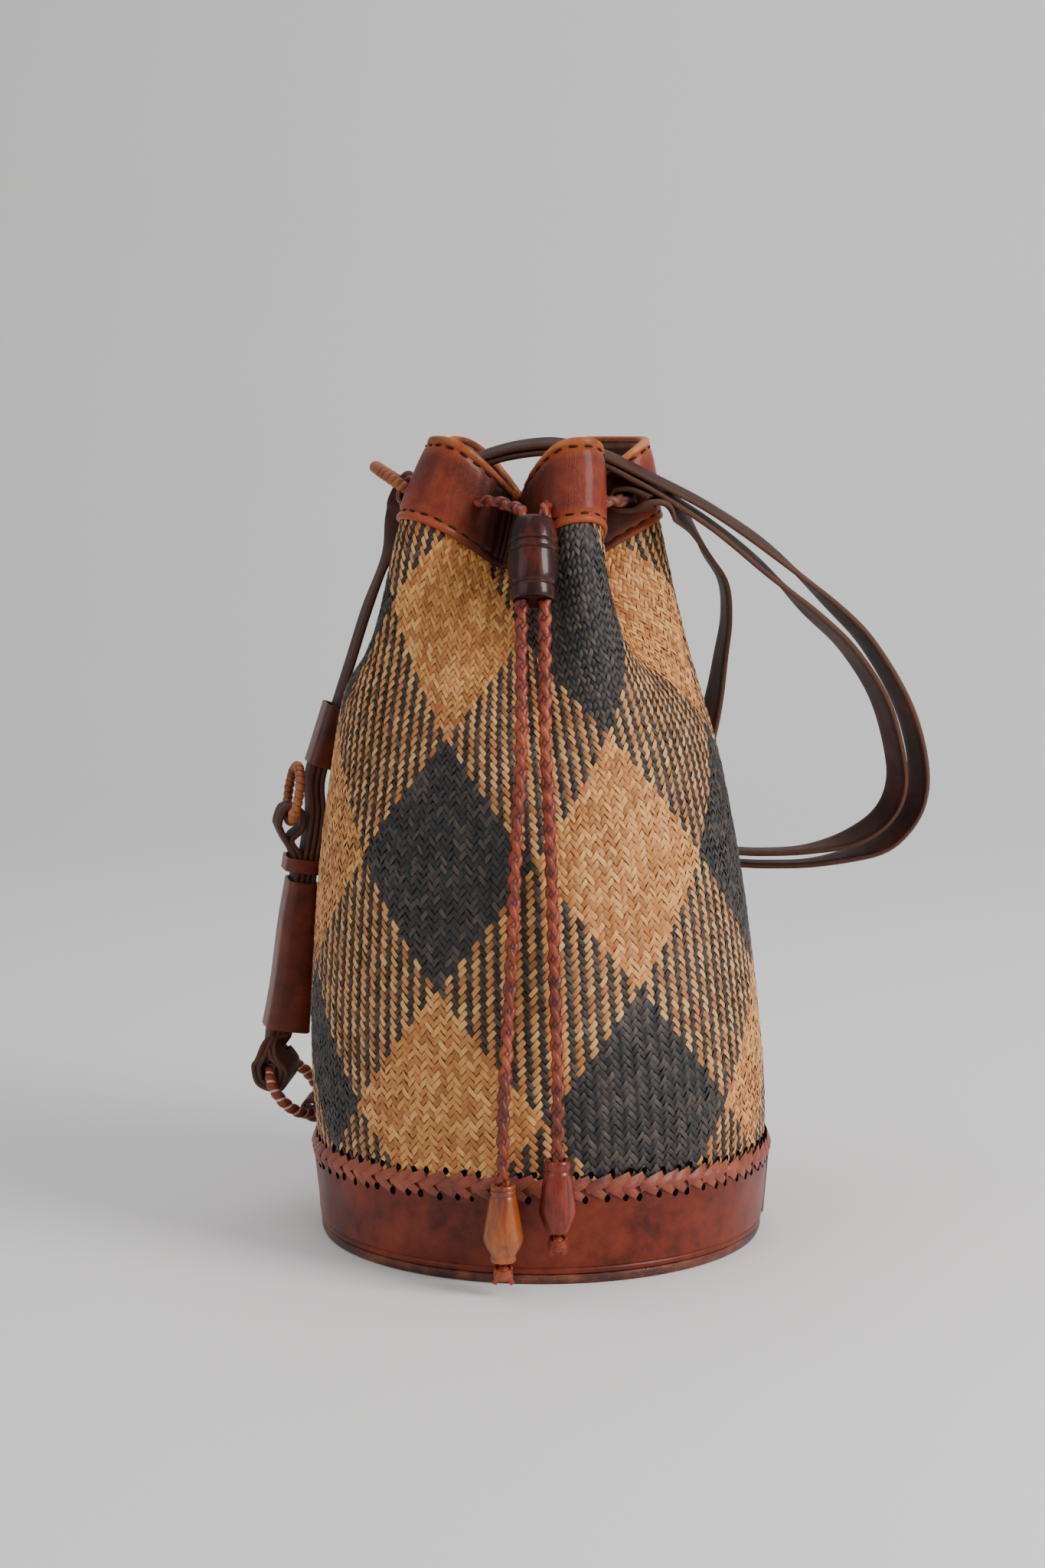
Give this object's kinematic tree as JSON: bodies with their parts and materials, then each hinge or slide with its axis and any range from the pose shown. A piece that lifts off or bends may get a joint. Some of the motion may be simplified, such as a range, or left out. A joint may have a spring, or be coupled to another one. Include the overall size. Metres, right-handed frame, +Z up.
{
  "type": "drawstring bucket bag",
  "caption": "Round woven cane bucket bag with a laced leather base, a gathered leather collar drawn shut by a braided cord with a wooden lock, and leather carrying straps on rings.",
  "frame": {"origin": "middle of the sole, on the surface the bag stands on", "axes": "+Z up; -Y to the front, where the cord lock and its two tails hang; +X to the side where the doubled strap swings out"},
  "size_m": [0.3015, 0.24, 0.3368],
  "materials": {
    "cane": "satin",
    "cognac_leather": "glossy",
    "dark_leather": "satin",
    "lining": "matt",
    "thread": "matt",
    "dark_wood": "lacquered",
    "amber_wood": "lacquered",
    "red_wood": "lacquered"
  },
  "bodies": {
    "bag": {"woven_body": "cane", "woven_floor": "cane", "base_sole": "cognac_leather", "base_welt": "dark_leather", "base_band": "cognac_leather", "band_lap": "cognac_leather", "base_lacing": "cognac_leather", "collar": "cognac_leather", "collar_lining": "lining", "rim_stitching": "thread", "hem_stitching": "thread", "drawstring_run": "cognac_leather", "tail_left": "cognac_leather", "tail_right": "cognac_leather", "knot_left": "cognac_leather", "knot_right": "cognac_leather", "tab_top_left": "cognac_leather", "tab_lower_left": "cognac_leather", "tab_lower_back": "cognac_leather", "strap_left": "dark_leather", "strap_loop_left": "dark_leather", "sleeve_upper": "cognac_leather", "strap_pair_outer": "dark_leather", "strap_pair_inner": "dark_leather", "strap_single": "dark_leather", "sleeve_back": "cognac_leather"},
    "lock": {"cord_lock": "dark_wood"},
    "left_bead": {"bead_left": "amber_wood"},
    "right_bead": {"bead_right": "red_wood"},
    "top_ring": {"ring_top_left": "cognac_leather"},
    "left_ring": {"ring_lower_left": "cognac_leather"},
    "back_ring": {"ring_lower_back": "cognac_leather"},
    "adjuster": {"adjuster_ring": "cognac_leather"},
    "sleeve": {"sleeve_large": "cognac_leather"},
    "keeper": {"strap_keeper": "cognac_leather"}
  },
  "joints": [
    {"name": "lock_slide", "type": "slide", "parent": "bag", "child": "lock", "axis": [0, -0.3903, -0.9207], "range_m": [0, 0.045]},
    {"name": "left_bead_slide", "type": "slide", "parent": "bag", "child": "left_bead", "axis": [0, 0, 1], "range_m": [0, 0.012]},
    {"name": "right_bead_slide", "type": "slide", "parent": "bag", "child": "right_bead", "axis": [0, 0, 1], "range_m": [0, 0.012]},
    {"name": "top_ring_turn", "type": "hinge", "parent": "bag", "child": "top_ring", "pos_m": [-0.0585, 0.009, 0.3155], "axis": [0.5524, 0, 0.8336], "range_deg": [-60, 60]},
    {"name": "left_ring_turn", "type": "hinge", "parent": "bag", "child": "left_ring", "pos_m": [-0.1075, 0.026, 0.053], "axis": [-0.6396, 0.4264, -0.6396], "range_deg": [-60, 60]},
    {"name": "back_ring_turn", "type": "hinge", "parent": "bag", "child": "back_ring", "pos_m": [0.029, 0.1125, 0.05], "axis": [0.259, 0.9659, 0], "range_deg": [-60, 60]},
    {"name": "adjuster_turn", "type": "hinge", "parent": "bag", "child": "adjuster", "pos_m": [-0.10687, 0.0246, 0.18257], "axis": [-0.955, -0.253, 0.1548], "range_deg": [-60, 60]},
    {"name": "sleeve_slide", "type": "slide", "parent": "bag", "child": "sleeve", "axis": [0.16, 0, 0.9871], "range_m": [0, 0.003]},
    {"name": "keeper_slide", "type": "slide", "parent": "bag", "child": "keeper", "axis": [0.16, 0, 0.9871], "range_m": [-0.003, 0]}
  ]
}
